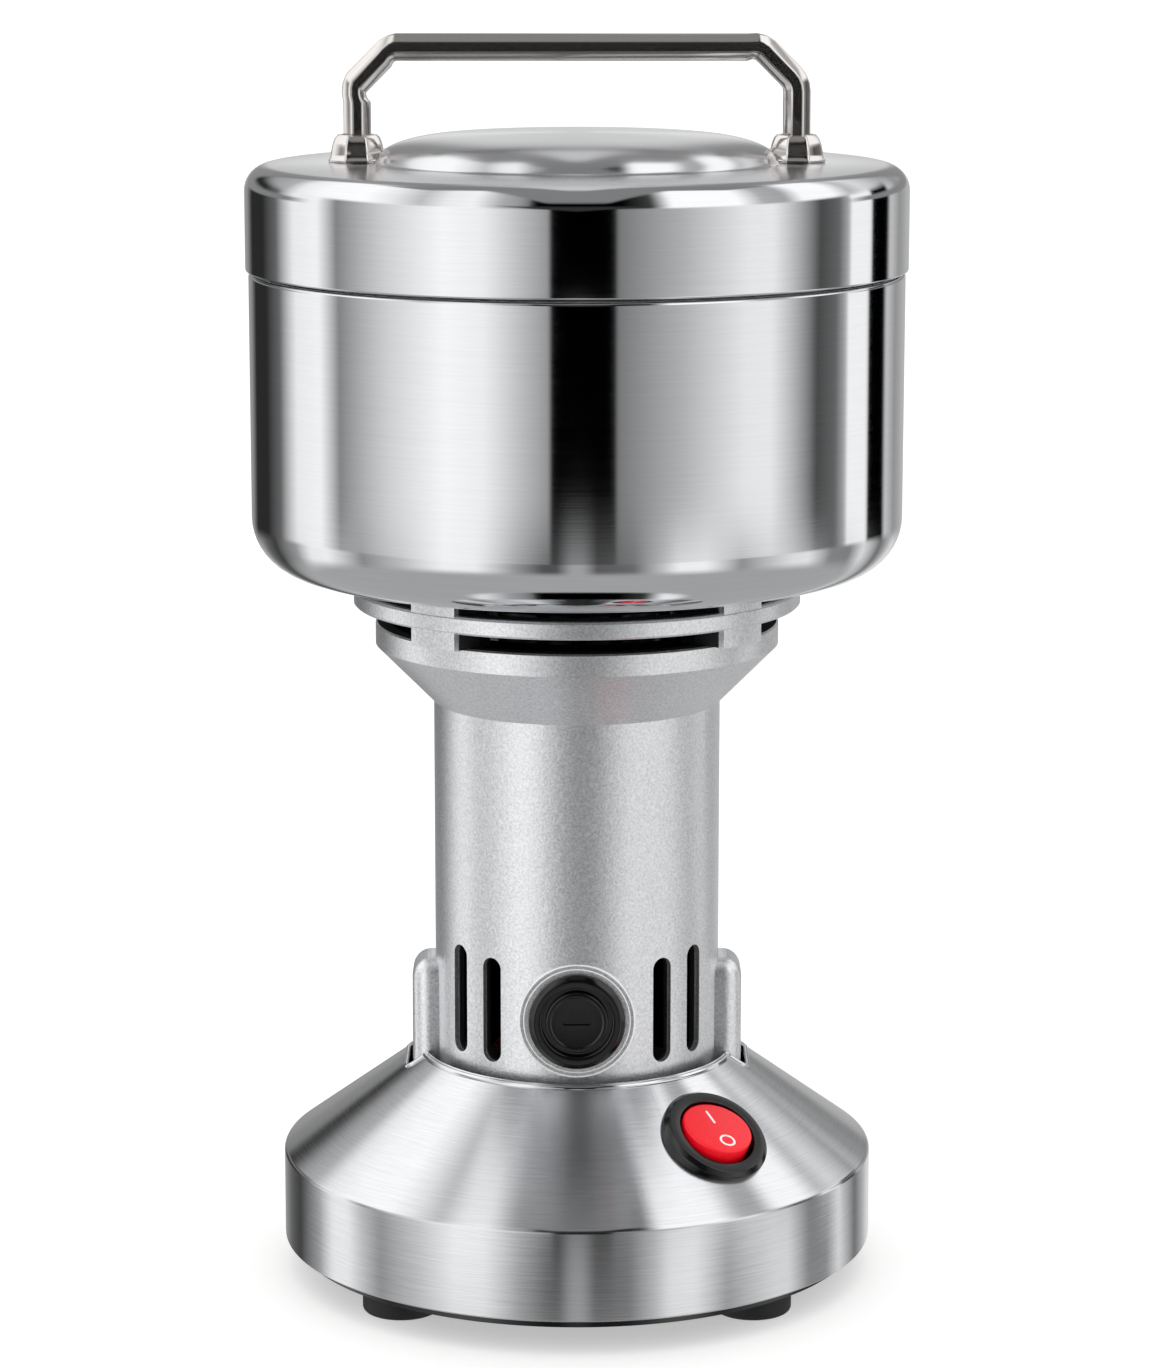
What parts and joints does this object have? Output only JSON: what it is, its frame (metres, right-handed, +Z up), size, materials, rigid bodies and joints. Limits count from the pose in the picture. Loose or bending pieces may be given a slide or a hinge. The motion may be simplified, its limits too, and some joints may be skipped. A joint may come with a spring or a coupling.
{
  "type": "electric coffee grinder",
  "caption": "Small electric coffee grinder with a steel bowl and bayonet lid on a cast motor column over a conical steel base, with a round rocker switch.",
  "frame": {"origin": "middle of the four feet's footprint, on the surface that the grinder stands on", "axes": "+Z up along the motor shaft, -Y to the front with the brush cap and the switch, +X to the right"},
  "size_m": [0.1104, 0.1104, 0.2112],
  "materials": {
    "polished_steel": "polished, finely brushed round the axis",
    "brushed_steel": "brushed round the axis",
    "chrome_handle": "polished",
    "steel_screws": "zinc plated",
    "blade_steel": "ground",
    "bearing_steel": "ground",
    "silver_paint": "fine sand-textured silver paint",
    "cast_aluminium": "as cast",
    "black_plastic": "moulded, satin",
    "black_rubber": "matte",
    "red_plastic": "moulded, satin gloss",
    "lamination_steel": "stacked laminations",
    "copper_winding": "enamelled copper",
    "commutator_copper": "turned",
    "carbon": "matte",
    "spring_brass": "bright",
    "white_plastic": "moulded",
    "yellow_film": "moulded",
    "wire_sheath": "extruded",
    "seal_silicone": "matte"
  },
  "bodies": {
    "housing": {"bowl": "polished_steel", "base_cover": "brushed_steel", "foot_screws": "steel_screws", "base_screws": "steel_screws", "lower_bracket_screws": "steel_screws", "upper_bracket_screws": "steel_screws", "stator_screws": "steel_screws", "bowl_screws": "steel_screws", "lower_bearing_outer_race": "bearing_steel", "lower_bearing_balls": "bearing_steel", "upper_bearing_outer_race": "bearing_steel", "upper_bearing_balls": "bearing_steel", "motor_housing": "silver_paint", "lower_bearing_bracket": "cast_aluminium", "base_plate": "black_plastic", "front_brush_holder": "black_plastic", "rear_brush_holder": "black_plastic", "front_brush_cap": "black_plastic", "rear_brush_cap": "black_plastic", "upper_bearing_bracket": "black_plastic", "switch_housing": "black_plastic", "rubber_feet": "black_rubber", "cord_gland": "black_rubber", "shaft_seal": "black_rubber", "stator_core": "lamination_steel", "field_coils": "copper_winding", "carbon_brushes": "carbon", "brush_springs": "spring_brass", "switch_terminals": "spring_brass", "terminal_screws": "spring_brass", "terminal_block": "white_plastic", "suppression_capacitor": "yellow_film", "inner_wiring": "wire_sheath"},
    "rotor": {"motor_shaft": "bearing_steel", "armature_core": "lamination_steel", "armature_windings": "copper_winding", "commutator": "commutator_copper", "cooling_fan": "black_plastic", "lower_bearing_inner_race": "bearing_steel", "upper_bearing_inner_race": "bearing_steel", "blade_spacers": "steel_screws", "lower_blade": "blade_steel", "upper_blade": "blade_steel", "blade_nut": "steel_screws"},
    "rocker": {"rocker_button": "red_plastic"},
    "lid_seal": {"lid_seal": "seal_silicone"},
    "lid": {"lid_shell": "polished_steel", "lid_liner": "white_plastic", "lid_handle": "chrome_handle", "handle_ferrules": "chrome_handle", "handle_screws": "steel_screws"}
  },
  "joints": [
    {"name": "motor_spin", "type": "hinge", "parent": "housing", "child": "rotor", "pos_m": [0, 0, 0.07], "axis": [0, 0, 1], "continuous": true},
    {"name": "lid_lift", "type": "slide", "parent": "housing", "child": "lid_seal", "axis": [0, 0, 1], "range_m": [0, 0.06]},
    {"name": "lid_turn", "type": "hinge", "parent": "lid_seal", "child": "lid", "pos_m": [0, 0, 0.18], "axis": [0, 0, -1], "range_deg": [0, 30]},
    {"name": "rocker_tilt", "type": "hinge", "parent": "housing", "child": "rocker", "pos_m": [0.02247, -0.02956, 0.03005], "axis": [0.8428, 0.5347, -0.0614], "range_deg": [0, 19]}
  ]
}
